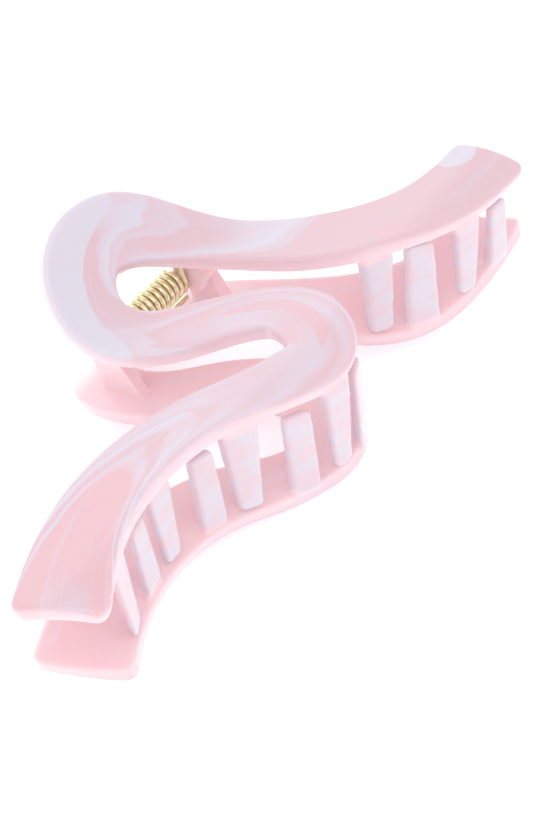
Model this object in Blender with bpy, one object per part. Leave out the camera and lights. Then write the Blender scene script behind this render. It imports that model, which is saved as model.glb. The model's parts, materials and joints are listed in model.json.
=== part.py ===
"""Claw clip: two wave-shaped moulded jaws on one hinge pin, held shut by a torsion spring.

Metres, +Z up. The clip lies on its back jaw: +X runs along the hinge pin, +Y from the teeth
towards the finger loops, and the front jaw is on top. Everything is drawn in millimetres in the
clip's own frame, whose origin is the middle of the hinge axis: x along the pin, y out of the
mid-plane (front jaw at -y, back jaw at +y), z from the teeth up to the finger loops.
"""
import math

import bmesh
import bpy
import numpy as np
from mathutils import Matrix, Vector

MM = 0.001

# Where the hinge axis sits in the world, and how far the clip leans when it lies on its back jaw.
HINGE_PLACE = (4.1, 16.2, 18.95)
LIE_ANGLE = 6.0

# Each jaw is a flat ribbon, bent afterwards. Its centreline on the flat: x, height v above the
# lower rim of the wall, and ribbon width, from the left tip to the right tip.
RIBBON = (
    (-62.7, 7.6, 16.7), (-54.4, 12.7, 15.7), (-42.7, 16.7, 14.4), (-30.5, 16.6, 12.9),
    (-20.2, 13.0, 11.6), (-8.8, 5.8, 11.3), (0.3, 3.8, 12.1), (4.8, 9.3, 12.4),
    (6.1, 16.8, 11.6), (2.2, 23.7, 11.3), (-3.3, 28.9, 11.6), (-9.1, 34.6, 11.6),
    (-12.1, 42.8, 11.9), (-9.2, 50.6, 12.9), (-2.2, 55.2, 14.1), (6.4, 53.0, 14.3),
    (11.8, 46.9, 12.8), (16.9, 38.0, 11.1), (22.4, 27.3, 12.6), (29.0, 17.5, 14.4),
    (38.5, 9.3, 15.4), (48.7, 6.4, 15.4), (58.2, 6.1, 15.7),
)
STATION_STEP = 2.0
TIP_CORNER = 2.2
TIP_STEPS = 4
# On the front jaw the left tip reaches further on the side of the teeth; on the back jaw the right
# tip stops short on the other side.
TIP_SLANT = {-1: (2.3, 0.0), 1: (0.0, -3.0)}
SLANT_REACH = 12.0

# The wall seen along the pin: its lean in degrees at heights v along it (positive leans outwards).
# The lean changes evenly between these, so the wall is a chain of arcs with a flat finger pad on top.
WALL_LEAN = ((-6, 18), (0, 14), (6, -3), (12, -16), (24, -9), (36, -1), (48, 25), (58, 43), (70, 43))
RIM_HALF_WIDTH = 13.6
RIM_BELOW_HINGE = 45.7
WALL_STEP = 0.1
WALL = 3.2
EDGE = 0.6
TIP_THINNING = 0.8
# Both ends of a wall curve in towards the mid-plane, past a straight middle stretch: hardly at all
# on the front jaw (-1), and more on the back jaw (+1).
BOW_CENTRE = -6.8
BOW_STRAIGHT = 20.0
BOW_CURVE = {-1: 0.0004, 1: 0.0047}

# Teeth of the front (-1) and back (+1) jaw: place along the lower rim, width at the root, and how
# far the tip stops short of the other wall.
TEETH = {
    -1: ((-50.8, 5.4, 0.5), (-35.8, 5.6, 0.5), (-19.6, 5.6, 0.5),
         (-3.4, 5.4, 0.5), (26.2, 4.8, 0.5), (41.2, 5.4, 0.5)),
    1: ((-42.5, 4.8, 1.8), (-26.2, 4.8, 1.8), (-10.9, 4.4, 1.8),
        (3.6, 4.8, 1.8), (32.2, 5.0, 0.3), (49.6, 5.2, 0.3)),
}
TOOTH_TIP_WIDTH = {-1: 3.5, 1: 4.2}
TOOTH_THICK = 2.4
TOOTH_BEND = 2.4
TOOTH_ROOT = 3.4
TOOTH_MAX_SLOPE = 0.7
TOOTH_FLARE = 1.2
TOOTH_CHAMFER = 0.6
CHAMFER_SHARE = 0.6
# A tooth is thinner where it leaves the wall, and again towards its tip, which is rounded off.
TOOTH_THINNING = 0.2
NOSE = 1.2
NOSE_STEPS = (1.0, 0.45, 0.12, 0.0)
NOSE_NARROWING = 0.7
NOSE_THINNING = 0.4

# Hinge: pin, lugs and spring.
PIN_RADIUS = 0.8
PIN_PROUD = 0.2
PIN_SIDES = 24
HOLE_RADIUS = 1.05
GAP = 0.3
LUG_RADIUS = 2.7
LUG_TOE = 2.3
LUG_THICK = 2.4
LUG_LOW = 36.3
LUG_HIGH = 47.0
LUG_ARC = (70, -90)
LUG_TOE_FROM = -20
SPRING_HALF = 9.2
# The pin, the lugs and the spring sit a little to the right of the middle of the clip.
HINGE_MIDDLE = 2.0

# The spring's x is measured from the middle of the hinge. The coil hangs on the pin, a little
# above its axis; each leg leaves it as a tangent and lies on the inside of a wall.
WIRE_RADIUS = 0.58
COIL_RADIUS = 2.42
COIL_LIFT = 0.55
COIL_START = -6.4
COIL_PITCH = 1.34
COIL_TURNS = 11
COIL_POINTS = 12
LEG_BEND = 1.2
BACK_LEG_REACH = 6.1
BACK_LEG_RISE = 0.6
BACK_LEG_END = 10.3
FRONT_LEG_REACH = 6.5
FRONT_LEG_RISE = -1.2
FRONT_LEG_TOP = 6.0
FRONT_LEG_LEAN = 3.2

PLASTIC_FRONT = (0.85, 0.62, 0.66, 1.0)
PLASTIC_BACK = (0.85, 0.58, 0.60, 1.0)
BRASS = (0.80, 0.68, 0.42, 1.0)
STEEL = (0.70, 0.70, 0.70, 1.0)


def spline(knots, at):
    """Natural cubic spline through rows of knots, read at chord-length parameters."""
    knots = np.array(knots, float)
    chord = np.linalg.norm(np.diff(knots[:, :2], axis=0), axis=1)
    t = np.concatenate([[0.0], np.cumsum(chord)])
    n = len(t)
    system = np.eye(n)
    right = np.zeros_like(knots)
    for i in range(1, n - 1):
        before, after = t[i] - t[i - 1], t[i + 1] - t[i]
        system[i, i - 1:i + 2] = before / 6, (before + after) / 3, after / 6
        right[i] = (knots[i + 1] - knots[i]) / after - (knots[i] - knots[i - 1]) / before
    bend = np.linalg.solve(system, right)
    at = np.clip(np.asarray(at, float), 0.0, t[-1])
    k = np.clip(np.searchsorted(t, at) - 1, 0, n - 2)
    span = (t[k + 1] - t[k])[:, None]
    b = ((at - t[k]) / span[:, 0])[:, None]
    a = 1 - b
    curve = a * knots[k] + b * knots[k + 1]
    return curve + ((a**3 - a) * bend[k] + (b**3 - b) * bend[k + 1]) * span**2 / 6


def spline_length(knots):
    """Largest parameter that spline() takes."""
    knots = np.array(knots, float)
    return float(np.linalg.norm(np.diff(knots[:, :2], axis=0), axis=1).sum())


def wall_table():
    """Height, outward offset and rise of the wall's outer face, by stepping along its lean."""
    knots = np.array(WALL_LEAN, float)
    v = np.arange(2 * knots[0, 0], knots[-1, 0], WALL_STEP)
    lean = np.radians(np.interp(v, knots[:, 0], knots[:, 1]))
    out = np.cumsum(np.sin(lean)) * WALL_STEP
    rise = np.cumsum(np.cos(lean)) * WALL_STEP
    return v, out - np.interp(0, v, out), rise - np.interp(0, v, rise), lean


WALL_V, WALL_OUT, WALL_RISE, WALL_ANGLE = wall_table()


def wall_point(x, v, depth, side):
    """Point at depth under the outer face of the jaw on one side (-1 front, +1 back)."""
    lean = np.interp(v, WALL_V, WALL_ANGLE)
    past = max(0.0, abs(x - BOW_CENTRE) - BOW_STRAIGHT)
    y = RIM_HALF_WIDTH + np.interp(v, WALL_V, WALL_OUT) - BOW_CURVE[side] * past**2
    z = np.interp(v, WALL_V, WALL_RISE) - RIM_BELOW_HINGE
    return x, side * (y - depth * math.cos(lean)), z + depth * math.sin(lean)


def round_end(distance, radius):
    """How much a rounded end of this radius takes off one side, at a distance from the end."""
    if distance >= radius:
        return 0.0
    return radius - math.sqrt(radius**2 - (radius - distance) ** 2)


def finish_mesh(name, work):
    """Turn a bmesh into an object with outward faces."""
    bmesh.ops.recalc_face_normals(work, faces=work.faces)
    mesh = bpy.data.meshes.new(name)
    work.to_mesh(mesh)
    work.free()
    return bpy.data.objects.new(name, mesh)


def loft(name, rings):
    """Closed body through rings of points in millimetres, with both ends capped."""
    work = bmesh.new()
    rows = [[work.verts.new(p) for p in ring] for ring in rings]
    for first, second in zip(rows, rows[1:]):
        for i, corner in enumerate(first):
            j = (i + 1) % len(first)
            work.faces.new((corner, first[j], second[j], second[i]))
    work.faces.new(rows[0])
    work.faces.new(rows[-1])
    bmesh.ops.triangulate(work, faces=work.faces)
    return finish_mesh(name, work)


def ribbon_section(half, thin):
    """Outline of the ribbon's section: across, depth. The long edges are rounded."""
    corner = EDGE * (1 - math.sqrt(0.5))
    flat = np.linspace(-(half - EDGE), half - EDGE, 4)
    edge = [(half - corner, corner), (half, EDGE), (half, WALL - EDGE), (half - corner, WALL - corner)]
    outline = [(a, 0.0) for a in flat] + edge
    outline += [(-a, WALL - d) for a, d in outline]
    return [(a, WALL / 2 + (d - WALL / 2) * thin) for a, d in outline]


def tip_slide(from_left, from_right, across, side):
    """How far a point near a tip is slid along the ribbon, so that the tip's end runs aslant."""
    left = TIP_SLANT[side][0] * (across - 1) / 2 * max(0.0, 1 - from_left / SLANT_REACH)
    right = TIP_SLANT[side][1] * (across + 1) / 2 * max(0.0, 1 - from_right / SLANT_REACH)
    return left + right


def ribbon_rings(side):
    """Sections along the ribbon, bent onto the wall of one jaw."""
    length = spline_length(RIBBON)
    tip = [TIP_CORNER * (1 - math.cos(math.pi / 2 * k / TIP_STEPS)) for k in range(TIP_STEPS + 1)]
    count = round((length - 2 * TIP_CORNER) / STATION_STEP)
    middle = np.linspace(TIP_CORNER, length - TIP_CORNER, count + 1)[1:-1]
    at = np.concatenate([tip, middle, [length - t for t in reversed(tip)]])
    centre = spline(RIBBON, at)
    ahead = spline(RIBBON, at + 0.05) - spline(RIBBON, at - 0.05)
    rings = []
    for (x, v, width), step, along in zip(centre, ahead, at):
        end = min(along, length - along)
        forward = step[:2] / math.hypot(step[0], step[1])
        thin = 1 - TIP_THINNING * 2 * round_end(end, EDGE) / WALL
        half = width / 2 - round_end(end, TIP_CORNER)
        ring = []
        for a, d in ribbon_section(half, thin):
            slide = tip_slide(along, length - along, a / half, side)
            at_x = x - a * forward[1] + slide * forward[0]
            at_v = v + a * forward[0] + slide * forward[1]
            ring.append(wall_point(at_x, at_v, d, side))
        rings.append(ring)
    return rings


def lower_rim(x):
    """Height and slope of the ribbon's lower edge at x."""
    at = np.linspace(0, spline_length(RIBBON), 900)
    centre = spline(RIBBON, at)
    step = np.gradient(centre[:, :2], axis=0)
    step /= np.linalg.norm(step, axis=1)[:, None]
    rim = centre[:, :2] + np.stack([step[:, 1], -step[:, 0]], -1) * centre[:, 2:] / 2
    near = np.abs(rim[:, 0] - x) < 0.8
    low = near & (rim[:, 1] < rim[near, 1].min() + 3.0)
    slope, height = np.polyfit(rim[low, 0] - x, rim[low, 1], 1)
    return height, float(np.clip(slope, -TOOTH_MAX_SLOPE, TOOTH_MAX_SLOPE))


def tooth_rings(x, width, short, side):
    """Sections of a tooth: down inside the wall, round a bend, then across to the other jaw."""
    height, slope = lower_rim(x)
    reach = abs(wall_point(x, height + TOOTH_THICK / 2, WALL, -side)[1]) - short
    floor = wall_point(x, height, 0, side)[2] + TOOTH_THICK / 2
    path = []
    for rise in (TOOTH_ROOT, TOOTH_BEND):
        root = wall_point(x, height + TOOTH_THICK / 2 + rise, WALL / 2, side)
        path.append((abs(root[1]), floor + rise, 90))
    wall_y = path[-1][0]
    for turn in (60, 30, 0):
        angle = math.radians(turn)
        path.append((wall_y - TOOTH_BEND * (1 - math.sin(angle)), floor + TOOTH_BEND * (1 - math.cos(angle)), turn))
    path.append((0.0, floor, 0))
    for part in NOSE_STEPS:
        path.append((NOSE * part - reach, floor, 0))
    rings = []
    for y, z, turn in path:
        travelled = (wall_y - y) / (wall_y + reach)
        half = (width + (TOOTH_TIP_WIDTH[side] - width) * travelled) / 2
        thick = TOOTH_THICK / 2 * (1 - TOOTH_THINNING * (math.sin(math.radians(turn)) + max(travelled, 0)))
        half += TOOTH_FLARE * ((z - floor) / TOOTH_ROOT) ** 2
        nose = round_end(y + reach, NOSE)
        half -= nose * NOSE_NARROWING
        thick -= nose * NOSE_THINNING
        chamfer = min(TOOTH_CHAMFER, thick * CHAMFER_SHARE)
        outline = [(half, thick - chamfer), (half - chamfer, thick)]
        outline += [(-a, b) for a, b in reversed(outline)]
        outline += [(-a, -b) for a, b in outline]
        tilt = math.radians(turn)
        rings.append([
            (x + a, side * (y - b * math.sin(tilt)), z + b * math.cos(tilt) + a * slope)
            for a, b in outline
        ])
    return rings


def extruded(name, outline, middle, thickness):
    """Flat outline in y and z (a 2D curve with fill), thickened along x."""
    curve = bpy.data.curves.new(name, "CURVE")
    curve.dimensions = "2D"
    curve.fill_mode = "BOTH"
    curve.extrude = thickness / 2
    line = curve.splines.new("POLY")
    line.points.add(len(outline) - 1)
    for point, (y, z) in zip(line.points, outline):
        point.co = (y, z, 0, 1)
    line.use_cyclic_u = True
    flat = bpy.data.objects.new(name, curve)
    flat.matrix_world = Matrix(((0, 0, 1, middle), (1, 0, 0, 0), (0, 1, 0, 0), (0, 0, 0, 1)))
    return to_mesh(flat)


def to_mesh(curve_object):
    """Replace a curve object by a closed mesh object of the same name and place."""
    bpy.context.scene.collection.objects.link(curve_object)
    bpy.context.view_layer.update()
    graph = bpy.context.evaluated_depsgraph_get()
    mesh = bpy.data.meshes.new_from_object(curve_object.evaluated_get(graph))
    name, place = curve_object.name, curve_object.matrix_world.copy()
    bpy.data.objects.remove(curve_object)
    work = bmesh.new()
    work.from_mesh(mesh)
    bpy.data.meshes.remove(mesh)
    bmesh.ops.transform(work, matrix=place, verts=work.verts)
    bmesh.ops.remove_doubles(work, verts=work.verts, dist=0.0001)
    return finish_mesh(name, work)


def lug_outline(side):
    """Lug of one jaw: rooted in the wall, with a round end about the pin, longer towards the teeth."""
    root = [wall_point(0, v, WALL / 2, side)[1:] for v in np.linspace(LUG_LOW, LUG_HIGH, 5)]
    nose = []
    for turn in np.linspace(*LUG_ARC, 11):
        angle = math.radians(turn)
        toe = LUG_TOE if turn < LUG_TOE_FROM else 0.0
        nose.append((-side * LUG_RADIUS * math.cos(angle), LUG_RADIUS * math.sin(angle) - toe))
    return root + nose


def combine(body, tools, operation):
    """Join or cut with an exact Boolean, and keep the result as the object's own mesh."""
    scene = bpy.context.scene.collection
    scene.objects.link(body)
    for tool in tools:
        scene.objects.link(tool)
        modifier = body.modifiers.new(operation.lower(), "BOOLEAN")
        modifier.operation = operation
        modifier.solver = "EXACT"
        modifier.object = tool
    bpy.context.view_layer.update()
    graph = bpy.context.evaluated_depsgraph_get()
    mesh = bpy.data.meshes.new_from_object(body.evaluated_get(graph))
    name = body.name
    for used in (body, *tools):
        bpy.data.objects.remove(used)
    work = bmesh.new()
    work.from_mesh(mesh)
    bpy.data.meshes.remove(mesh)
    bmesh.ops.dissolve_degenerate(work, edges=work.edges, dist=0.001)
    return finish_mesh(name, work)


def cylinder(name, radius, start, stop):
    """Round bar along x, between two places on it."""
    work = bmesh.new()
    place = Matrix.Translation(((start + stop) / 2, 0, 0)) @ Matrix.Rotation(math.pi / 2, 4, "Y")
    bmesh.ops.create_cone(work, cap_ends=True, segments=PIN_SIDES, radius1=radius, radius2=radius,
                          depth=stop - start, matrix=place)
    return finish_mesh(name, work)


def jaw(name, side, lugs):
    """One moulded jaw: ribbon, teeth and a lug at each end of the spring, drilled for the pin."""
    ribbon = loft(name, ribbon_rings(side))
    extras = [loft("tooth", tooth_rings(*tooth, side)) for tooth in TEETH[side]]
    extras += [extruded("lug", lug_outline(side), x, LUG_THICK) for x in lugs]
    body = combine(ribbon, extras, "UNION")
    body.name = name
    drills = [cylinder("drill", HOLE_RADIUS, x - LUG_THICK, x + LUG_THICK) for x in lugs]
    body = combine(body, drills, "DIFFERENCE")
    body.name = name
    return body


def tangent_angle(y, z):
    """Angle on the coil where a straight wire to the point (y, z) leaves it, on the lower side."""
    above = z - COIL_LIFT
    return math.atan2(above, y) - math.copysign(math.acos(COIL_RADIUS / math.hypot(y, above)), y)


def spring_path():
    """Wire centreline: back leg along the back wall, coil, then front leg up the front wall."""
    leave_back = tangent_angle(BACK_LEG_REACH, BACK_LEG_RISE)
    leave_front = tangent_angle(-FRONT_LEG_REACH, FRONT_LEG_RISE)
    sweep = (leave_back - leave_front) % math.tau + COIL_TURNS * math.tau
    count = round(sweep / math.tau * COIL_POINTS)
    straight = np.linspace(BACK_LEG_END, COIL_START + LEG_BEND, 6)
    path = [(x, BACK_LEG_REACH, BACK_LEG_RISE) for x in straight]
    path.append((COIL_START + LEG_BEND / 4, BACK_LEG_REACH - LEG_BEND / 4, BACK_LEG_RISE))
    path.append((COIL_START, BACK_LEG_REACH - LEG_BEND, BACK_LEG_RISE - LEG_BEND / 4))
    for k in range(count + 1):
        turned = sweep * k / count
        angle = leave_back - turned
        x = COIL_START + COIL_PITCH * turned / math.tau
        path.append((x, COIL_RADIUS * math.cos(angle), COIL_LIFT + COIL_RADIUS * math.sin(angle)))
    end_x = path[-1][0]
    middle = (FRONT_LEG_RISE + FRONT_LEG_TOP) / 2
    path.append((end_x, LEG_BEND / 2 - FRONT_LEG_REACH, FRONT_LEG_RISE))
    path.append((end_x, -FRONT_LEG_REACH, FRONT_LEG_RISE + LEG_BEND / 2))
    path.append((end_x, -FRONT_LEG_REACH - FRONT_LEG_LEAN / 4, middle))
    path.append((end_x, -FRONT_LEG_REACH - FRONT_LEG_LEAN, FRONT_LEG_TOP))
    return path


def torsion_spring():
    """Wound wire of round section, with closed ends."""
    path = spring_path()
    curve = bpy.data.curves.new("torsion_spring", "CURVE")
    curve.dimensions = "3D"
    curve.bevel_depth = WIRE_RADIUS
    curve.bevel_resolution = 2
    curve.use_fill_caps = True
    line = curve.splines.new("POLY")
    line.points.add(len(path) - 1)
    for point, (x, y, z) in zip(line.points, path):
        point.co = (x + HINGE_MIDDLE, y, z, 1)
    return to_mesh(bpy.data.objects.new("torsion_spring", curve))


def hinge_pin(outer):
    """Plain pin through the four lugs, its ends just proud of the outer ones."""
    return cylinder("hinge_pin", PIN_RADIUS, HINGE_MIDDLE - outer, HINGE_MIDDLE + outer)


def material(name, colour, roughness, metallic):
    """Principled material."""
    made = bpy.data.materials.new(name)
    made.use_nodes = True
    shader = made.node_tree.nodes["Principled BSDF"]
    shader.inputs["Base Color"].default_value = colour
    shader.inputs["Roughness"].default_value = roughness
    shader.inputs["Metallic"].default_value = metallic
    return made


def main():
    for old in list(bpy.data.objects):
        bpy.data.objects.remove(old)
    clip = bpy.data.collections.new("claw_clip")
    bpy.context.scene.collection.children.link(clip)

    inner = SPRING_HALF + GAP + LUG_THICK / 2
    outer = inner + LUG_THICK + GAP
    front_lugs = (HINGE_MIDDLE - inner, HINGE_MIDDLE + inner)
    back_lugs = (HINGE_MIDDLE - outer, HINGE_MIDDLE + outer)
    pieces = [
        (jaw("front_jaw", -1, front_lugs), material("front_plastic", PLASTIC_FRONT, 0.25, 0.0)),
        (jaw("back_jaw", 1, back_lugs), material("back_plastic", PLASTIC_BACK, 0.25, 0.0)),
        (hinge_pin(outer + LUG_THICK / 2 + PIN_PROUD), material("pin_steel", STEEL, 0.3, 1.0)),
        (torsion_spring(), material("spring_brass", BRASS, 0.3, 1.0)),
    ]

    hinge = bpy.data.objects.new("hinge_axis", None)
    hinge.location = Vector(HINGE_PLACE) * MM
    hinge.rotation_euler = (math.radians(LIE_ANGLE - 90), 0, 0)
    clip.objects.link(hinge)
    for piece, surface in pieces:
        piece.data.transform(Matrix.Scale(MM, 4))
        piece.data.materials.append(surface)
        piece.data.shade_smooth()
        piece.data.set_sharp_from_angle(angle=math.radians(35))
        piece.parent = hinge
        clip.objects.link(piece)


main()
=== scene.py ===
"""Claw clip in glossy marbled pink plastic, with a brass torsion spring, lying on a pale floor.

Everything is in metres in the frame of the CAD model. The jaws, the spring and the pin are drawn
again in millimetres in the clip's own frame (x along the hinge pin, y out of the mid-plane, z from
the teeth up to the finger loops), finer than the CAD, and are then carried to the world.
"""
import json
import math

import bmesh
import bpy
import numpy as np
from mathutils import Matrix, Vector


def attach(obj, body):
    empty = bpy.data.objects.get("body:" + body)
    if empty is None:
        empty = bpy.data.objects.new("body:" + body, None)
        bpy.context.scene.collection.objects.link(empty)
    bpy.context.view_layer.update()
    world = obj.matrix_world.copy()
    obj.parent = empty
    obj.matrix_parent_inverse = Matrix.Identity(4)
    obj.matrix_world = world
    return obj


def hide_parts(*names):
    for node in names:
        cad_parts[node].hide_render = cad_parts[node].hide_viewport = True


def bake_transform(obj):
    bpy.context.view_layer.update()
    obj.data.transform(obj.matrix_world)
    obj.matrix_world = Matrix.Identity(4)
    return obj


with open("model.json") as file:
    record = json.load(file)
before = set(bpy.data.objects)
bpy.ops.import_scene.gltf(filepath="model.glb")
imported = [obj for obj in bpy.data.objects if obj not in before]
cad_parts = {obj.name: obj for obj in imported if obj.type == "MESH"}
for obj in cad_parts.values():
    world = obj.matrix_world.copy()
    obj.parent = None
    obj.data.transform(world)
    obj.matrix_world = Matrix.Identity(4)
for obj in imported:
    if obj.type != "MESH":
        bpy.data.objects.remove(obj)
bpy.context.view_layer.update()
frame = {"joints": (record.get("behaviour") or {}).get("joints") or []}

MM = 0.001

# The clip's own frame in the world: the middle of the hinge axis, and the lean of the clip.
HINGE_PLACE = Vector(frame["joints"][0]["pos_m"])
LIE_ANGLE = 6.0
TO_WORLD = (Matrix.Translation(HINGE_PLACE) @ Matrix.Rotation(math.radians(LIE_ANGLE - 90), 4, "X")
            @ Matrix.Scale(MM, 4))

# The jaws, with the CAD model's dimensions in millimetres. Each is a flat ribbon, bent afterwards.
# Its centreline on the flat: x, height above the lower rim of the wall, and ribbon width, from the
# left tip to the right tip. What differs between the jaws is given for -1 (front) and 1 (back).
RIBBON = np.array((
    (-62.7, 7.6, 16.7), (-54.4, 12.7, 15.7), (-42.7, 16.7, 14.4), (-30.5, 16.6, 12.9),
    (-20.2, 13.0, 11.6), (-8.8, 5.8, 11.3), (0.3, 3.8, 12.1), (4.8, 9.3, 12.4),
    (6.1, 16.8, 11.6), (2.2, 23.7, 11.3), (-3.3, 28.9, 11.6), (-9.1, 34.6, 11.6),
    (-12.1, 42.8, 11.9), (-9.2, 50.6, 12.9), (-2.2, 55.2, 14.1), (6.4, 53.0, 14.3),
    (11.8, 46.9, 12.8), (16.9, 38.0, 11.1), (22.4, 27.3, 12.6), (29.0, 17.5, 14.4),
    (38.5, 9.3, 15.4), (48.7, 6.4, 15.4), (58.2, 6.1, 15.7),
))
RIBBON_LENGTH = float(np.linalg.norm(np.diff(RIBBON[:, :2], axis=0), axis=1).sum())
TIP_CORNER = 2.2
TIP_THINNING = 0.8
TIP_SLANT = {-1: (2.3, 0.0), 1: (0.0, -3.0)}
SLANT_REACH = 12.0
# The wall seen along the pin: its lean in degrees at heights along it (positive leans outwards).
WALL_LEAN = ((-6, 18), (0, 14), (6, -3), (12, -16), (24, -9), (36, -1), (48, 25), (58, 43),
             (70, 43))
WALL_SPAN = (-12.0, 72.0)
WALL_STEP = 0.1
RIM_HALF_WIDTH = 13.6
RIM_BELOW_HINGE = 45.7
WALL = 3.2
EDGE = 0.7
# Both ends of a wall curve in towards the mid-plane, past a straight middle stretch.
BOW_CENTRE = -6.8
BOW_STRAIGHT = 20.0
BOW_CURVE = {-1: 0.0004, 1: 0.0047}
# Teeth: place along the lower rim, width at the root, and how far the tip stops short of the
# other wall.
TEETH = {
    -1: ((-50.8, 5.4, 0.5), (-35.8, 5.6, 0.5), (-19.6, 5.6, 0.5),
         (-3.4, 5.4, 0.5), (26.2, 4.8, 0.5), (41.2, 5.4, 0.5)),
    1: ((-42.5, 4.8, 1.8), (-26.2, 4.8, 1.8), (-10.9, 4.4, 1.8),
        (3.6, 4.8, 1.8), (32.2, 5.0, 0.3), (49.6, 5.2, 0.3)),
}
TOOTH_TIP_WIDTH = {-1: 3.5, 1: 4.2}
TOOTH_THICK = 2.4
TOOTH_THINNING = 0.2
TOOTH_BEND = 2.4
TOOTH_ROOT = 3.4
TOOTH_FLARE = 1.4
TOOTH_MAX_SLOPE = 0.7
TOOTH_CHAMFER = 0.6
CHAMFER_SHARE = 0.6
# The rounded tip of a tooth, in steps that get shorter towards its end.
NOSE = 1.2
NOSE_STEPS = (1.0, 0.7, 0.45, 0.25, 0.1, 0.03, 0.0)
NOSE_NARROWING = 0.7
NOSE_THINNING = 0.4
# How the ribbon's lower rim is read near a tooth: half the stretch, and the height of the band.
RIM_STRETCH = 0.8
RIM_BAND = 3.0
# Lugs: rounded about the pin through an arc in degrees, with a toe that hangs lower towards the
# teeth and reaches its full depth this many degrees below level.
LUG_RADIUS = 2.7
LUG_ARC = (70, -90)
LUG_TOE = 2.3
LUG_TOE_FULL = 40
LUG_THICK = 2.4
LUG_LOW = 36.3
LUG_HIGH = 47.0
HOLE_RADIUS = 1.05
PIN_RADIUS = 0.8
PIN_PROUD = 0.2
# Chamfer of the pin: distance from its end, and share of its radius.
PIN_CHAMFER = ((0.0, 0.72), (0.05, 0.86), (0.15, 0.96), (0.3, 1.0))
SPRING_HALF = 9.2
GAP = 0.3
HINGE_MIDDLE = 2.0
INNER_LUG = SPRING_HALF + GAP + LUG_THICK / 2
OUTER_LUG = INNER_LUG + LUG_THICK + GAP
LUGS = {-1: (HINGE_MIDDLE - INNER_LUG, HINGE_MIDDLE + INNER_LUG),
        1: (HINGE_MIDDLE - OUTER_LUG, HINGE_MIDDLE + OUTER_LUG)}

# The spring: one wire, a coil that hangs a little above the pin's axis, and a leg on each wall.
WIRE_RADIUS = 0.6
COIL_RADIUS = 2.42
COIL_LIFT = 0.55
COIL_START = HINGE_MIDDLE - 6.4
COIL_PITCH = 1.34
COIL_TURNS = 11
COIL_POINTS = 40
LEG_BEND = 1.2
BACK_LEG_REACH = 6.1
BACK_LEG_RISE = 0.6
BACK_LEG_END = HINGE_MIDDLE + 10.3
FRONT_LEG_REACH = 6.5
FRONT_LEG_RISE = -1.2
FRONT_LEG_TOP = 6.0
FRONT_LEG_LEAN = 3.2
LEG_STEP = 0.25

# How finely the visible jaws are made, and in what portions their points are handled.
STATION_STEP = 0.6
TIP_STEPS = 12
FLAT_POINTS = 16
RIM_SAMPLES = 900
CENTRE_SAMPLES = 700
PORTION = 4000
VOXEL = 0.3
SMOOTHING_ROUNDS = 4
SMOOTHING_FACTOR = 0.5


# ---------------------------------------------------------------- shape of a jaw
def cubic_through(knots, t, at):
    """Natural cubic spline through rows of knots at the parameters t, read at the parameters at."""
    n = len(t)
    system = np.eye(n)
    right = np.zeros_like(knots)
    for i in range(1, n - 1):
        before, after = t[i] - t[i - 1], t[i + 1] - t[i]
        system[i, i - 1:i + 2] = before / 6, (before + after) / 3, after / 6
        right[i] = (knots[i + 1] - knots[i]) / after - (knots[i] - knots[i - 1]) / before
    bend = np.linalg.solve(system, right)
    k = np.clip(np.searchsorted(t, at) - 1, 0, n - 2)
    span = (t[k + 1] - t[k])[:, None]
    b = ((at - t[k]) / span[:, 0])[:, None]
    a = 1 - b
    curve = a * knots[k] + b * knots[k + 1]
    return curve + ((a**3 - a) * bend[k] + (b**3 - b) * bend[k + 1]) * span**2 / 6


def travelled_to(points):
    """Distance travelled along straight lines up to each point."""
    steps = np.linalg.norm(np.diff(points, axis=0), axis=1)
    return np.concatenate([[0.0], np.cumsum(steps)])


def ribbon_at(along):
    """Place on the flat and width of the ribbon at distances along it."""
    t = travelled_to(RIBBON[:, :2])
    return cubic_through(RIBBON, t, np.clip(along, 0.0, t[-1]))


def smooth_path(knots):
    """Points close together on a smooth curve through the knots."""
    knots = np.array(knots, float)
    t = travelled_to(knots)
    return cubic_through(knots, t, np.linspace(0, t[-1], max(3, round(t[-1] / LEG_STEP))))


def ribbon_directions(centre):
    """Unit steps along the ribbon on the flat, at closely spaced points of its centreline."""
    step = np.gradient(centre[:, :2], axis=0)
    return step / np.linalg.norm(step, axis=1)[:, None]


def wall_table():
    """Height, outward offset, rise and lean of the wall's outer face."""
    v = np.arange(*WALL_SPAN, WALL_STEP)
    knots = np.array(WALL_LEAN, float)
    lean = np.radians(np.interp(v, knots[:, 0], knots[:, 1]))
    out = np.cumsum(np.sin(lean)) * WALL_STEP
    rise = np.cumsum(np.cos(lean)) * WALL_STEP
    return v, out - np.interp(0, v, out), rise - np.interp(0, v, rise), lean


WALL_V, WALL_OUT, WALL_RISE, WALL_ANGLE = wall_table()


def wall_point(x, v, depth, side):
    """Point at depth under the outer face of the jaw on one side (-1 front, +1 back)."""
    lean = np.interp(v, WALL_V, WALL_ANGLE)
    past = max(0.0, abs(x - BOW_CENTRE) - BOW_STRAIGHT)
    y = RIM_HALF_WIDTH + np.interp(v, WALL_V, WALL_OUT) - BOW_CURVE[side] * past**2
    z = np.interp(v, WALL_V, WALL_RISE) - RIM_BELOW_HINGE
    return x, side * (y - depth * math.cos(lean)), z + depth * math.sin(lean)


def round_end(distance, radius):
    """How much a rounded end of this radius takes off one side, at a distance from the end."""
    if distance >= radius:
        return 0.0
    return radius - math.sqrt(radius**2 - (radius - distance) ** 2)


def add_loft(work, rings):
    """Closed body through rings of points, added to a bmesh."""
    rows = [[work.verts.new(p) for p in ring] for ring in rings]
    for first, second in zip(rows, rows[1:]):
        for i, corner in enumerate(first):
            j = (i + 1) % len(first)
            work.faces.new((corner, first[j], second[j], second[i]))
    work.faces.new(rows[0])
    work.faces.new(rows[-1])


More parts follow.
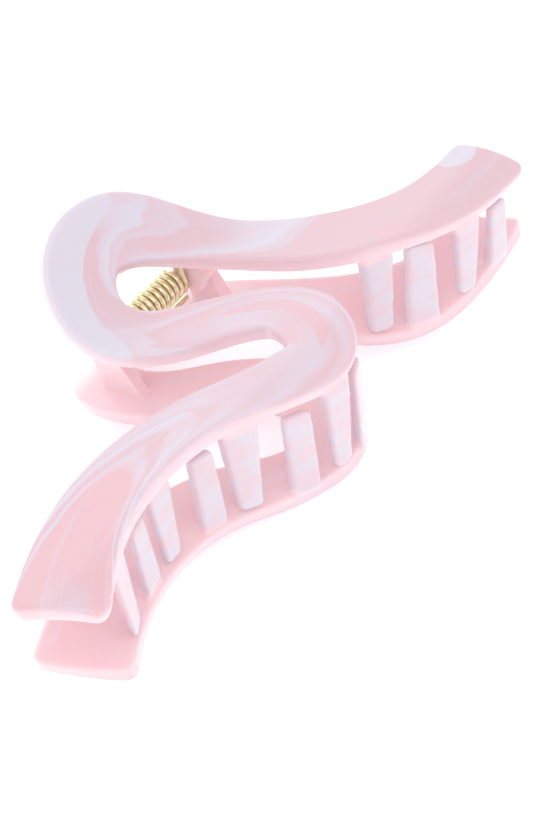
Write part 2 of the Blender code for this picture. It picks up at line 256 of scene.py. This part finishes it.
def object_from(work, name):
    """New object in the scene from a bmesh, with all its faces turned outwards."""
    bmesh.ops.recalc_face_normals(work, faces=work.faces)
    mesh = bpy.data.meshes.new(name)
    work.to_mesh(mesh)
    work.free()
    made = bpy.data.objects.new(name, mesh)
    bpy.context.scene.collection.objects.link(made)
    return made


def ribbon_section(half, thin):
    """Outline of the ribbon's section: across, depth, with rounded long edges."""
    flat = np.linspace(-(half - EDGE), half - EDGE, FLAT_POINTS)
    outline = [(a, 0.0) for a in flat]
    for turn in np.linspace(18, 90, 5):
        angle = math.radians(turn)
        outline.append((half - EDGE + EDGE * math.sin(angle), EDGE - EDGE * math.cos(angle)))
    for turn in np.linspace(0, 72, 5):
        angle = math.radians(turn)
        outline.append((half - EDGE + EDGE * math.cos(angle), WALL - EDGE + EDGE * math.sin(angle)))
    outline += [(-a, WALL - d) for a, d in outline]
    return [(a, WALL / 2 + (d - WALL / 2) * thin) for a, d in outline]


def tip_slide(from_left, from_right, across, side):
    """How far a point near a tip is slid along the ribbon, so that the tip's end runs aslant."""
    left = TIP_SLANT[side][0] * (across - 1) / 2 * max(0.0, 1 - from_left / SLANT_REACH)
    right = TIP_SLANT[side][1] * (across + 1) / 2 * max(0.0, 1 - from_right / SLANT_REACH)
    return left + right


def ribbon_rings(side):
    """Sections along the ribbon, bent onto the wall of one jaw."""
    tip = [TIP_CORNER * (1 - math.cos(math.pi / 2 * k / TIP_STEPS)) for k in range(TIP_STEPS + 1)]
    count = round((RIBBON_LENGTH - 2 * TIP_CORNER) / STATION_STEP)
    middle = np.linspace(TIP_CORNER, RIBBON_LENGTH - TIP_CORNER, count + 1)[1:-1]
    at = np.concatenate([tip, middle, [RIBBON_LENGTH - t for t in reversed(tip)]])
    centre = ribbon_at(at)
    ahead = ribbon_at(at + 0.05) - ribbon_at(at - 0.05)
    rings = []
    for (x, v, width), step, along in zip(centre, ahead, at):
        end = min(along, RIBBON_LENGTH - along)
        forward = step[:2] / math.hypot(step[0], step[1])
        thin = 1 - 2 * round_end(end, EDGE) / WALL * TIP_THINNING
        half = width / 2 - round_end(end, TIP_CORNER)
        ring = []
        for a, d in ribbon_section(half, thin):
            slide = tip_slide(along, RIBBON_LENGTH - along, a / half, side)
            at_x = x - a * forward[1] + slide * forward[0]
            at_v = v + a * forward[0] + slide * forward[1]
            ring.append(wall_point(at_x, at_v, d, side))
        rings.append(ring)
    return rings


def lower_rim(x):
    """Height and slope of the ribbon's lower edge at x."""
    centre = ribbon_at(np.linspace(0, RIBBON_LENGTH, RIM_SAMPLES))
    step = ribbon_directions(centre)
    rim = centre[:, :2] + np.stack([step[:, 1], -step[:, 0]], -1) * centre[:, 2:] / 2
    near = np.abs(rim[:, 0] - x) < RIM_STRETCH
    low = near & (rim[:, 1] < rim[near, 1].min() + RIM_BAND)
    slope, height = np.polyfit(rim[low, 0] - x, rim[low, 1], 1)
    return height, float(np.clip(slope, -TOOTH_MAX_SLOPE, TOOTH_MAX_SLOPE))


def tooth_rings(x, width, short, side):
    """Sections of a tooth: down inside the wall, round a bend, then across to the other jaw."""
    height, slope = lower_rim(x)
    reach = abs(wall_point(x, height + TOOTH_THICK / 2, WALL, -side)[1]) - short
    floor = wall_point(x, height, 0, side)[2] + TOOTH_THICK / 2
    path = []
    for rise in (TOOTH_ROOT, TOOTH_BEND):
        root = wall_point(x, height + TOOTH_THICK / 2 + rise, WALL / 2, side)
        path.append((abs(root[1]), floor + rise, 90))
    wall_y = path[-1][0]
    for turn in (75, 60, 45, 30, 15, 0):
        angle = math.radians(turn)
        path.append((wall_y - TOOTH_BEND * (1 - math.sin(angle)),
                     floor + TOOTH_BEND * (1 - math.cos(angle)), turn))
    path.append((0.0, floor, 0))
    for part in NOSE_STEPS:
        path.append((NOSE * part - reach, floor, 0))
    rings = []
    for y, z, turn in path:
        tilt = math.radians(turn)
        travelled = (wall_y - y) / (wall_y + reach)
        half = (width + (TOOTH_TIP_WIDTH[side] - width) * travelled) / 2
        thick = TOOTH_THICK / 2 * (1 - TOOTH_THINNING * math.sin(tilt)
                                   - TOOTH_THINNING * max(travelled, 0))
        half += TOOTH_FLARE * max(0.0, (z - floor) / TOOTH_ROOT) ** 2
        nose = round_end(y + reach, NOSE)
        half -= nose * NOSE_NARROWING
        thick -= nose * NOSE_THINNING
        corner = min(TOOTH_CHAMFER, thick * CHAMFER_SHARE)
        outline = [(half - corner * (1 - math.cos(t)), thick - corner * (1 - math.sin(t)))
                   for t in np.linspace(0, math.pi / 2, 4)]
        outline += [(-a, b) for a, b in reversed(outline)]
        outline += [(-a, -b) for a, b in outline]
        rings.append([
            (x + a, side * (y - b * math.sin(tilt)), z + b * math.cos(tilt) + a * slope)
            for a, b in outline
        ])
    return rings


def lug_outline(side):
    """Lug of one jaw in y and z, rooted in the wall and rounded about the pin."""
    root = [wall_point(0, v, WALL / 2, side)[1:] for v in np.linspace(LUG_LOW, LUG_HIGH, 9)]
    nose = []
    for turn in np.linspace(*LUG_ARC, 33):
        angle = math.radians(turn)
        toe = LUG_TOE * min(1.0, max(0.0, -turn / LUG_TOE_FULL))
        nose.append((-side * LUG_RADIUS * math.cos(angle), LUG_RADIUS * math.sin(angle) - toe))
    return root + nose


def add_lug(work, side, x):
    """One lug with its pin hole, as a ring of faces round the hole on each face."""
    outline = lug_outline(side)
    hole = [tuple(np.array(point) / np.linalg.norm(point) * HOLE_RADIUS) for point in outline]
    half = LUG_THICK / 2
    loops = [[work.verts.new((x + dx, y, z)) for y, z in points]
             for dx, points in ((-half, outline), (half, outline), (half, hole), (-half, hole))]
    for first, second in zip(loops, loops[1:] + loops[:1]):
        for i, corner in enumerate(first):
            j = (i + 1) % len(first)
            work.faces.new((corner, first[j], second[j], second[i]))


def jaw_mesh(name, side):
    """The whole jaw as one smooth moulded skin, in millimetres in the clip's frame."""
    work = bmesh.new()
    add_loft(work, ribbon_rings(side))
    for tooth in TEETH[side]:
        add_loft(work, tooth_rings(*tooth, side))
    for x in LUGS[side]:
        add_lug(work, side, x)
    skin = object_from(work, name)
    rough = skin.data
    remesh = skin.modifiers.new("remesh", "REMESH")
    remesh.mode = "VOXEL"
    remesh.voxel_size = VOXEL
    smooth = skin.modifiers.new("smooth", "SMOOTH")
    smooth.factor = SMOOTHING_FACTOR
    smooth.iterations = SMOOTHING_ROUNDS
    bpy.context.view_layer.update()
    graph = bpy.context.evaluated_depsgraph_get()
    moulded = bpy.data.meshes.new_from_object(skin.evaluated_get(graph))
    skin.modifiers.clear()
    skin.data = moulded
    bpy.data.meshes.remove(rough)
    return skin


def flat_coordinates(points, side):
    """For points in the clip's frame: place along the ribbon, across it, and depth in the wall.

    Across runs from -1 on the side of the teeth to 1, and depth counts from the outer face.
    """
    past = np.maximum(0.0, np.abs(points[:, 0] - BOW_CENTRE) - BOW_STRAIGHT)
    y = points[:, 1] * side + BOW_CURVE[side] * past**2 - RIM_HALF_WIDTH
    z = points[:, 2] + RIM_BELOW_HINGE
    along = np.linspace(0, RIBBON_LENGTH, CENTRE_SAMPLES)
    centre = ribbon_at(along)
    step = ribbon_directions(centre)
    flat = np.empty((len(points), 3))
    for start in range(0, len(points), PORTION):
        part = slice(start, start + PORTION)
        away = (y[part, None] - WALL_OUT) ** 2 + (z[part, None] - WALL_RISE) ** 2
        row = away.argmin(axis=1)
        lean = WALL_ANGLE[row]
        depth = ((WALL_OUT[row] - y[part]) * np.cos(lean)
                 + (z[part] - WALL_RISE[row]) * np.sin(lean))
        dx = points[part, 0][:, None] - centre[:, 0]
        dv = WALL_V[row][:, None] - centre[:, 1]
        near = (dx**2 + dv**2).argmin(axis=1)
        pick = np.arange(len(near))
        across = -dx[pick, near] * step[near, 1] + dv[pick, near] * step[near, 0]
        ahead = dx[pick, near] * step[near, 0] + dv[pick, near] * step[near, 1]
        flat[part, 0] = along[near] + np.clip(ahead, -1, 1)
        flat[part, 1] = across / (centre[near, 2] / 2)
        flat[part, 2] = depth
    return flat


# ---------------------------------------------------------------- materials
# Colours of the plastic, from the deep pink mass to the white dye.
DEEP = (0.78, 0.50, 0.55)
PINK = (0.74, 0.53, 0.59)
PALE = (0.73, 0.57, 0.64)
MILK = (0.73, 0.62, 0.71)
WHITE = (0.71, 0.68, 0.78)
# Painted shade: the deep salmon pink of the inner faces, which lie in shade and take light bounced
# between the jaws.
INSIDE_SHADE_PINK = (0.83, 0.585, 0.62)
THIN_EDGE = (0.81, 0.63, 0.675)
TOOTH_PALE = (0.70, 0.575, 0.635)
TOOTH_MILK = (0.66, 0.62, 0.70)

# The swirl: colour against place along the ribbon in millimetres. A step where the dye ends sharply
# has two stops close together; elsewhere one colour fades into the next.
SWIRL_LENGTH = 240.0
SWIRL = (
    (0.0, PALE), (6.0, DEEP), (27.8, DEEP), (28.6, MILK), (31.6, MILK), (32.8, PINK), (36.8, PINK),
    (37.6, MILK), (43.0, WHITE), (44.0, PALE), (49.0, MILK), (58.0, PALE), (66.0, MILK),
    (78.0, PINK), (88.0, MILK), (108.0, PINK), (108.8, MILK), (113.8, MILK), (114.6, PALE),
    (126.0, PINK), (137.0, PINK), (139.0, MILK), (143.4, WHITE), (144.0, PALE), (149.6, MILK),
    (150.3, PINK), (160.0, PALE), (170.4, WHITE), (171.0, PALE), (173.0, MILK), (173.8, PINK),
    (240.0, PINK),
)
# How far the swirl wanders and ripples, in millimetres, and how strongly each layer covers it.
WANDER = 3.0
RIPPLE = 0.3
STREAK_COVER = 0.38
THREAD_COVER = 0.30
CLOUD_COVER = 0.5
DYE_COVER = 0.9
BLUSH_COVER = 0.75
PATCH_RIPPLE = 0.05
PATCH_EDGE = 0.06
EDGE_COVER = 0.7
TOOTH_COVER = 0.92
# Depths in the wall, in millimetres, over which the cut edge and the inner face take over.
EDGE_DEPTH = (0.25, 1.0)
INSIDE_DEPTH = (2.4, 3.1)
# The painted shade on the inner face fades towards both tips: a stretch along the ribbon, and how
# much of the painted shade is left at its start and at its end.
INSIDE_SHADE_FADES = ((2.0, 16.0, 0.55, 1.0), (198.0, 214.0, 1.0, 0.4))
# Light that comes through the wall from the far side, and the teeth's share of it.
GLOW_DEPTH = (0.3, 2.8)
GLOW = 0.12
TOOTH_GLOW = 0.35


class Material:
    """A new material with short ways to add the nodes that are used here."""

    def __init__(self, name, **settings):
        self.made = bpy.data.materials.new(name)
        self.made.use_nodes = True
        self.nodes = self.made.node_tree.nodes
        self.links = self.made.node_tree.links
        self.shader = self.nodes["Principled BSDF"]
        for socket, value in settings.items():
            self.shader.inputs[socket.replace("_", " ")].default_value = value

    def feed(self, socket, value):
        """Set a socket to a number or a colour, or link another node's output to it."""
        if isinstance(value, tuple):
            socket.default_value = (*value, 1.0)
        elif isinstance(value, (int, float)):
            socket.default_value = value
        else:
            self.links.new(value, socket)

    def shade(self, socket, value):
        self.links.new(value, self.shader.inputs[socket])

    def attribute(self, name):
        node = self.nodes.new("ShaderNodeAttribute")
        node.attribute_name = name
        return node

    def split(self, vector):
        node = self.nodes.new("ShaderNodeSeparateXYZ")
        self.links.new(vector, node.inputs[0])
        return node.outputs["X"], node.outputs["Y"], node.outputs["Z"]

    def ramp(self, factor, stops, interpolation):
        node = self.nodes.new("ShaderNodeValToRGB")
        node.color_ramp.interpolation = interpolation
        elements = node.color_ramp.elements
        while len(elements) < len(stops):
            elements.new(0.5)
        for element, (place, colour) in zip(elements, stops):
            element.position = place
            element.color = (*colour, 1.0)
        self.links.new(factor, node.inputs["Fac"])
        return node.outputs["Color"]

    def mix(self, factor, first, second):
        """Colour between two colours or colour sockets."""
        node = self.nodes.new("ShaderNodeMix")
        node.data_type = "RGBA"
        for socket, value in zip((node.inputs["Factor"], node.inputs[6], node.inputs[7]),
                                 (factor, first, second)):
            self.feed(socket, value)
        return node.outputs[2]

    def math(self, operation, *values):
        node = self.nodes.new("ShaderNodeMath")
        node.operation = operation
        for socket, value in zip(node.inputs, values):
            self.feed(socket, value)
        return node.outputs[0]

    def remap(self, value, low, high, new_low=0.0, new_high=1.0, smooth=True):
        node = self.nodes.new("ShaderNodeMapRange")
        node.interpolation_type = "SMOOTHSTEP" if smooth else "LINEAR"
        self.links.new(value, node.inputs["Value"])
        node.inputs["From Min"].default_value = low
        node.inputs["From Max"].default_value = high
        node.inputs["To Min"].default_value = new_low
        node.inputs["To Max"].default_value = new_high
        return node.outputs["Result"]

    def noise(self, vector, scale, detail=2.0, roughness=0.5):
        """Noise read at a vector stretched by scale."""
        stretch = self.nodes.new("ShaderNodeMapping")
        stretch.inputs["Scale"].default_value = scale
        self.links.new(vector, stretch.inputs["Vector"])
        node = self.nodes.new("ShaderNodeTexNoise")
        node.inputs["Scale"].default_value = 1.0
        node.inputs["Detail"].default_value = detail
        node.inputs["Roughness"].default_value = roughness
        self.links.new(stretch.outputs["Vector"], node.inputs["Vector"])
        return node.outputs["Fac"]


def marbled_plastic():
    """Glossy, slightly translucent pink plastic with white dye drawn out along the ribbon.

    The attribute "flow" holds the place along the swirl and across it and the depth in the wall,
    and "place" holds the same without the tongues. "dye" and "blush" mark single patches, and
    "tooth" is 1 on the teeth.
    """
    m = Material("marbled_pink_plastic", IOR=1.49, Coat_Weight=0.25, Coat_Roughness=0.06,
                 Subsurface_Weight=0.35, Subsurface_Radius=(1.0, 0.5, 0.45),
                 Subsurface_Scale=0.0025)
    flow = m.attribute("flow").outputs["Vector"]
    place = m.attribute("place").outputs["Vector"]
    dye = m.attribute("dye").outputs["Fac"]
    blush = m.attribute("blush").outputs["Fac"]
    tooth = m.attribute("tooth").outputs["Fac"]
    swirl_place = m.split(flow)[0]
    along, _, depth = m.split(place)

    wander = m.noise(place, (0.07, 1.1, 0.16), 1.5)
    ripple = m.noise(place, (0.25, 2.6, 0.35), 2.0)
    swirl_place = m.math("ADD", swirl_place,
                         m.remap(wander, 0.25, 0.75, -WANDER, WANDER, smooth=False))
    swirl_place = m.math("ADD", swirl_place,
                         m.remap(ripple, 0.25, 0.75, -RIPPLE, RIPPLE, smooth=False))
    colour = m.ramp(m.math("DIVIDE", swirl_place, SWIRL_LENGTH),
                    [(at / SWIRL_LENGTH, shade) for at, shade in SWIRL], "LINEAR")

    # Streaks and threads of white dye that run with the ribbon, and broad soft clouds.
    streaks = m.noise(flow, (0.022, 5.0, 0.5), 3.0, 0.55)
    streak = m.remap(streaks, 0.56, 0.66)
    colour = m.mix(m.math("MULTIPLY", streak, STREAK_COVER), colour, MILK)
    off_thread = m.math("ABSOLUTE", m.math("SUBTRACT", streaks, 0.47))
    thread = m.remap(off_thread, 0.0, 0.010, 1.0, 0.0)
    colour = m.mix(m.math("MULTIPLY", thread, THREAD_COVER), colour, WHITE)
    clouds = m.noise(place, (0.05, 0.8, 0.3), 2.0)
    colour = m.mix(m.remap(clouds, 0.50, 0.72, 0.0, CLOUD_COVER), colour, DEEP)

    # Single patches of dye and of bare pink, with a sharp edge.
    for patch, cover, paint in ((dye, DYE_COVER, WHITE), (blush, BLUSH_COVER, DEEP)):
        uneven = m.remap(ripple, 0.3, 0.7, -PATCH_RIPPLE, PATCH_RIPPLE, smooth=False)
        within = m.remap(m.math("ADD", patch, uneven), 0.0, PATCH_EDGE)
        colour = m.mix(m.math("MULTIPLY", within, cover), colour, paint)

    # The cut edges of the ribbon are paler, since light comes through them from both sides.
    colour = m.mix(m.remap(depth, *EDGE_DEPTH, 0.0, EDGE_COVER), colour, THIN_EDGE)

    # Painted shade: the inside of the walls is a deeper salmon pink that stands in for shade and
    # light bounced between the jaws, with little dye.
    inside = m.remap(depth, *INSIDE_DEPTH)
    inside = m.math("MULTIPLY", inside, m.remap(streaks, 0.45, 0.62, 0.95, 0.35))
    for fade in INSIDE_SHADE_FADES:
        inside = m.math("MULTIPLY", inside, m.remap(along, *fade))
    inside = m.math("MULTIPLY", inside, m.math("SUBTRACT", 1.0, tooth))
    colour = m.mix(inside, colour, INSIDE_SHADE_PINK)

    # The teeth are milky.
    wisps = m.noise(place, (0.16, 0.2, 0.3), 1.0)
    milky = m.mix(m.remap(wisps, 0.42, 0.58), TOOTH_PALE, TOOTH_MILK)
    colour = m.mix(m.math("MULTIPLY", tooth, TOOTH_COVER), colour, milky)
    m.shade("Base Color", colour)
    m.shade("Emission Color", colour)
    glow = m.remap(depth, *GLOW_DEPTH, 0.0, GLOW)
    glow = m.math("MULTIPLY", glow, m.remap(tooth, 0.0, 1.0, 1.0, TOOTH_GLOW))
    m.shade("Emission Strength", glow)

    grain = m.noise(place, (0.5, 4.0, 1.0), 2.0)
    m.shade("Roughness", m.remap(grain, 0.3, 0.7, 0.13, 0.24, smooth=False))
    return m.made


def brass():
    m = Material("pale_brass_wire", Metallic=1.0)
    place = m.nodes.new("ShaderNodeTexCoord").outputs["Object"]
    stains = m.noise(place, (900.0, 900.0, 900.0), 3.0)
    m.shade("Base Color", m.ramp(stains, ((0.35, (0.76, 0.69, 0.42)), (0.65, (0.88, 0.85, 0.60))),
                                 "EASE"))
    m.shade("Roughness", m.remap(stains, 0.0, 1.0, 0.16, 0.30, smooth=False))
    return m.made


def steel():
    m = Material("drawn_steel", Metallic=1.0, Base_Color=(0.72, 0.71, 0.69, 1.0))
    place = m.nodes.new("ShaderNodeTexCoord").outputs["Object"]
    drawn = m.noise(place, (60.0, 4000.0, 4000.0))
    m.shade("Roughness", m.remap(drawn, 0.0, 1.0, 0.22, 0.42, smooth=False))
    return m.made


def floor_paper():
    return Material("white_paper", Base_Color=(0.97, 0.97, 0.97, 1.0), Roughness=0.9,
                    Emission_Color=(1.0, 1.0, 1.0, 1.0), Emission_Strength=0.3).made


# ---------------------------------------------------------------- pieces
# Patches on the outer face: middle along the ribbon, half length, middle across, half width.
DYE_PATCHES = {
    -1: ((124.0, 15.5, 0.90, 1.0), (211.5, 4.6, 0.75, 0.55)),
    1: ((60.0, 9.0, -0.3, 0.5), (8.0, 5.0, 0.9, 0.3)),
}
BLUSH_PATCHES = {-1: ((80.5, 13.0, -0.05, 0.26),), 1: ((30.0, 20.0, 0.2, 0.4),)}
# Deeper than this a point belongs to a lug or a tooth, which the patches don't reach.
PATCH_DEPTH = 4.5
# The back jaw's swirl is moved along, and the noise of the two jaws is read in different places.
SWIRL_SHIFT = {-1: 0.0, 1: 9.0}
NOISE_APART = 3.0
# A point low on the clip is on a tooth past the lower rim or behind the wall: where the change to
# the tooth's colour starts, and over what distance.
TOOTH_TOP = -20.0
PAST_RIM = (-1.02, 0.1)
BEHIND_WALL = (3.6, 1.2)
TONGUE_LIMIT = 1.15
TONGUE_LINE = -0.08


def hump(s, start, top_from, top_to, end):
    """1 between top_from and top_to, easing to 0 at start and end."""
    up = np.clip((s - start) / (top_from - start), 0, 1)
    down = np.clip((end - s) / (end - top_to), 0, 1)
    both = np.minimum(up, down)
    return both * both * (3 - 2 * both)


def tongues(s, a):
    """How far the flow drags the dye back along the ribbon, at s along it and a across it.

    The dye runs ahead where this is least: near the middle of the left arm and of the middle
    arm, and on the side away from the teeth in the loop and the right arm.
    """
    a = np.clip(a, -TONGUE_LIMIT, TONGUE_LIMIT)
    off = np.abs(a - TONGUE_LINE)
    tip_drag = np.where(a > TONGUE_LINE, 24.0 * off ** 2.5, 38.0 * off ** 4)
    tip_arm = hump(s, -20, -10, 48, 66) * tip_drag
    middle = hump(s, 52, 70, 104, 120) * 24.0 * np.abs(a - 0.3) ** 2.6
    aslant = np.maximum(0, 0.75 - a) ** 3
    loop = hump(s, 108, 122, 150, 172) * 5.0 * aslant
    right_arm = hump(s, 150, 172, 240, 260) * 2.2 * aslant
    return tip_arm + middle + loop + right_arm


def patch_field(s, a, patches):
    """Above 0 inside any of the oval patches."""
    field = np.full(len(s), -1.0)
    for middle, long, across, wide in patches:
        oval = 1 - ((s - middle) / long) ** 2 - ((a - across) / wide) ** 2
        field = np.maximum(field, oval)
    return field


def put_attribute(mesh, name, values):
    """Store one number or one vector for each point of a mesh."""
    vector = values.ndim == 2
    data = mesh.attributes.new(name, "FLOAT_VECTOR" if vector else "FLOAT", "POINT").data
    data.foreach_set("vector" if vector else "value", values.astype(np.float32).ravel())


def make_jaw(name, side, node, body, surface):
    jaw = jaw_mesh(name, side)
    mesh = jaw.data
    points = np.empty(len(mesh.vertices) * 3)
    mesh.vertices.foreach_get("co", points)
    points = points.reshape(-1, 3)
    s, a, depth = flat_coordinates(points, side).T
    across = a + side * NOISE_APART
    swirl = s + tongues(s, a) + SWIRL_SHIFT[side]
    put_attribute(mesh, "flow", np.stack([swirl, across, depth], -1))
    put_attribute(mesh, "place", np.stack([s, across, depth], -1))
    tooth = np.maximum((PAST_RIM[0] - a) / PAST_RIM[1], (depth - BEHIND_WALL[0]) / BEHIND_WALL[1])
    low = points[:, 2] < TOOTH_TOP
    put_attribute(mesh, "tooth", np.where(low, np.clip(tooth, 0.0, 1.0), 0.0))
    outer = np.where(depth > PATCH_DEPTH, -1.0, 1.0)
    put_attribute(mesh, "dye", np.minimum(patch_field(s, a, DYE_PATCHES[side]), outer))
    put_attribute(mesh, "blush", np.minimum(patch_field(s, a, BLUSH_PATCHES[side]), outer))
    mesh.materials.clear()
    place_in_world(mesh, surface)
    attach(jaw, body)
    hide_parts(node)


def place_in_world(mesh, surface):
    """Carry a mesh from the clip's frame to the world, and give it a smooth surface."""
    mesh.transform(TO_WORLD)
    mesh.shade_smooth()
    mesh.materials.append(surface)


def sweep(name, path, radius, surface, sides=16):
    """Round wire along a path of points in millimetres, with rounded ends."""
    path = [Vector(p) for p in path]
    directions = []
    for i in range(len(path)):
        before, after = path[max(i - 1, 0)], path[min(i + 1, len(path) - 1)]
        directions.append((after - before).normalized())
    normal = directions[0].orthogonal().normalized()
    rings = []
    for here, ahead in zip(path, directions):
        normal = (normal - ahead * normal.dot(ahead)).normalized()
        rings.append((here, ahead, normal, ahead.cross(normal), radius))
    caps = []
    for turn in (80, 60, 40, 20):
        angle = math.radians(turn)
        caps.append((math.sin(angle), math.cos(angle)))
    first, last = rings[0], rings[-1]
    start = [(first[0] - first[1] * radius * 0.5 * s, *first[1:4], radius * c) for s, c in caps]
    stop = [(last[0] + last[1] * radius * 0.5 * s, *last[1:4], radius * c)
            for s, c in reversed(caps)]
    loops = []
    for here, ahead, normal, other, size in start + rings + stop:
        loop = []
        for k in range(sides):
            angle = math.tau * k / sides
            loop.append(tuple(here + (normal * math.cos(angle) + other * math.sin(angle)) * size))
        loops.append(loop)
    work = bmesh.new()
    add_loft(work, loops)
    wire = object_from(work, name)
    place_in_world(wire.data, surface)
    return wire


def tangent_angle(y, z):
    """Angle on the coil where a straight wire to the point (y, z) leaves it, on the lower side."""
    above = z - COIL_LIFT
    return math.atan2(above, y) - math.copysign(math.acos(COIL_RADIUS / math.hypot(y, above)), y)


def make_spring(surface):
    """The wound coil, which runs on into the front leg, and the leg along the back wall."""
    leave_back = tangent_angle(BACK_LEG_REACH, BACK_LEG_RISE)
    leave_front = tangent_angle(-FRONT_LEG_REACH, FRONT_LEG_RISE)
    sweep_angle = (leave_back - leave_front) % math.tau + COIL_TURNS * math.tau
    count = round(sweep_angle / math.tau * COIL_POINTS)
    coil = []
    for k in range(count + 1):
        turned = sweep_angle * k / count
        angle = leave_back - turned
        x = COIL_START + COIL_PITCH * turned / math.tau
        coil.append((x, COIL_RADIUS * math.cos(angle), COIL_LIFT + COIL_RADIUS * math.sin(angle)))

    # The coil runs straight on into the front leg, which bends up along the front wall.
    x = coil[-1][0]
    reach, rise, bend = -FRONT_LEG_REACH, FRONT_LEG_RISE, LEG_BEND
    front = smooth_path([
        coil[-1], (x, reach + bend * 1.5, rise), (x, reach + bend * 0.7, rise + bend * 0.02),
        (x, reach + bend * 0.2, rise + bend * 0.2), (x, reach, rise + bend * 0.7),
        (x, reach - FRONT_LEG_LEAN / 4, (rise + FRONT_LEG_TOP) / 2),
        (x, reach - FRONT_LEG_LEAN, FRONT_LEG_TOP),
    ])
    wound = sweep("spring_coil", coil + [tuple(p) for p in front[2:]], WIRE_RADIUS, surface)

    # The back leg lies along the back wall, then bends in to where the coil starts.
    start, reach, rise = COIL_START, BACK_LEG_REACH, BACK_LEG_RISE
    back = smooth_path([
        (BACK_LEG_END, reach, rise), (BACK_LEG_END - 5, reach, rise), (start + 4, reach, rise),
        (start + 1.5, reach, rise), (start + 0.35, reach - 0.35, rise - 0.1),
        (start, reach - 1.5, rise - 0.4), (start, *coil[0][1:]),
    ])
    leg = sweep("spring_back_leg", [tuple(p) for p in back], WIRE_RADIUS, surface)
    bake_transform(wound)
    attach(leg, "back")
    for piece in (wound, leg):
        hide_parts("torsion_spring")


def make_pin(surface):
    """Drawn pin with chamfered ends."""
    outer = OUTER_LUG + LUG_THICK / 2 + PIN_PROUD
    profile = [(-outer + inset, share) for inset, share in PIN_CHAMFER]
    profile += [(outer - inset, share) for inset, share in reversed(PIN_CHAMFER)]
    rings = []
    for x, share in profile:
        r = share * PIN_RADIUS
        rings.append([(HINGE_MIDDLE + x, r * math.cos(t), r * math.sin(t))
                      for t in np.linspace(0, math.tau, 49)[:-1]])
    work = bmesh.new()
    add_loft(work, rings)
    pin = object_from(work, "pin")
    place_in_world(pin.data, surface)
    pin.data.set_sharp_from_angle(angle=math.radians(50))
    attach(pin, "back")
    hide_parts("hinge_pin")


plastic = marbled_plastic()
make_jaw("jaw_front", -1, "front_jaw", "front", plastic)
make_jaw("jaw_back", 1, "back_jaw", "back", plastic)
make_spring(brass())
make_pin(steel())


# ---------------------------------------------------------------- floor, light and camera
FLOOR_SIZE = 6
FLOOR_DROP = 0.0004
LIGHT_TARGET = (0, 0, 0.02)
FOCAL_LENGTH = 68.35
CAMERA_PLACE = (-0.1327, -0.1631, 0.2035)
CAMERA_TURN = (44.952, 11.215, -52.761)


def area_light(name, place, size, power):
    light = bpy.data.lights.new(name, "AREA")
    light.shape = "RECTANGLE"
    light.size, light.size_y = size
    light.energy = power
    holder = bpy.data.objects.new(name, light)
    holder.location = place
    aim = Vector(LIGHT_TARGET) - Vector(place)
    holder.rotation_euler = aim.to_track_quat("-Z", "Y").to_euler()
    bpy.context.scene.collection.objects.link(holder)


bpy.ops.mesh.primitive_plane_add(size=FLOOR_SIZE, location=(0, 0, -FLOOR_DROP))
ground = bpy.context.object
ground.name = "floor"
ground.data.materials.append(floor_paper())

world = bpy.data.worlds.new("studio")
bpy.context.scene.world = world
world.use_nodes = True
world.node_tree.nodes["Background"].inputs["Color"].default_value = (1.0, 1.0, 1.0, 1.0)
world.node_tree.nodes["Background"].inputs["Strength"].default_value = 1.0
area_light("key", (-0.25, -0.15, 0.55), (0.5, 0.5), 0.45)
area_light("back_light", (0.3, 0.45, 0.4), (0.5, 0.3), 0.25)
bpy.context.scene.view_settings.view_transform = "Standard"

lens = bpy.data.cameras.new("camera")
lens.lens = FOCAL_LENGTH
lens.clip_start = 0.01
camera = bpy.data.objects.new("camera", lens)
camera.location = CAMERA_PLACE
camera.rotation_euler = [math.radians(turn) for turn in CAMERA_TURN]
bpy.context.scene.collection.objects.link(camera)
bpy.context.scene.camera = camera

bpy.context.view_layer.update()
